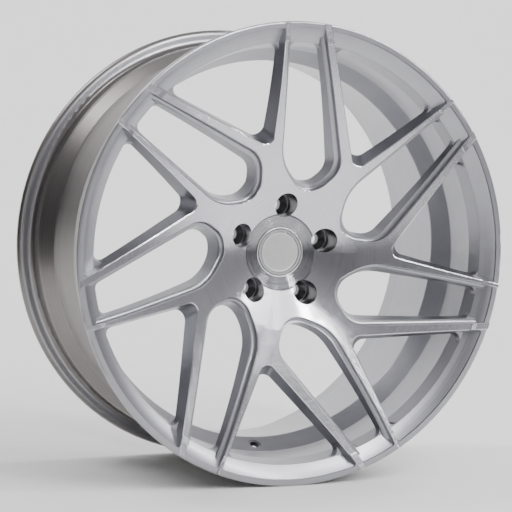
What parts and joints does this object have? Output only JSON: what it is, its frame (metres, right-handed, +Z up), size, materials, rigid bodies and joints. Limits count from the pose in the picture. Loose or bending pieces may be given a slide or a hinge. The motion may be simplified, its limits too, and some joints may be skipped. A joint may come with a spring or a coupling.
{
  "type": "car wheel",
  "caption": "Forged split-spoke road racing wheel with a pocketed lip and a pull-off centre cap.",
  "frame": {"origin": "on the wheel's axis, at the rim's mid-plane", "axes": "+Z up, +Y along the axis from the street side towards the car, +X to the right seen from the street side"},
  "size_m": [0.5474, 0.251, 0.5474],
  "materials": {
    "machined_aluminium": "turned spoke faces and satin silver sides, clear coated",
    "silver_plastic": "matte silver painted moulding",
    "spring_steel": "bare drawn wire",
    "badge_aluminium": "fine matte plate"
  },
  "bodies": {
    "wheel": {"wheel_forging": "machined_aluminium"},
    "centre_cap": {"cap_shell": "silver_plastic", "cap_spring_ring": "spring_steel", "cap_badge": "badge_aluminium"}
  },
  "joints": [
    {"name": "cap_pull", "type": "slide", "parent": "wheel", "child": "centre_cap", "axis": [0, -1, 0], "range_m": [0, 0.09]}
  ]
}
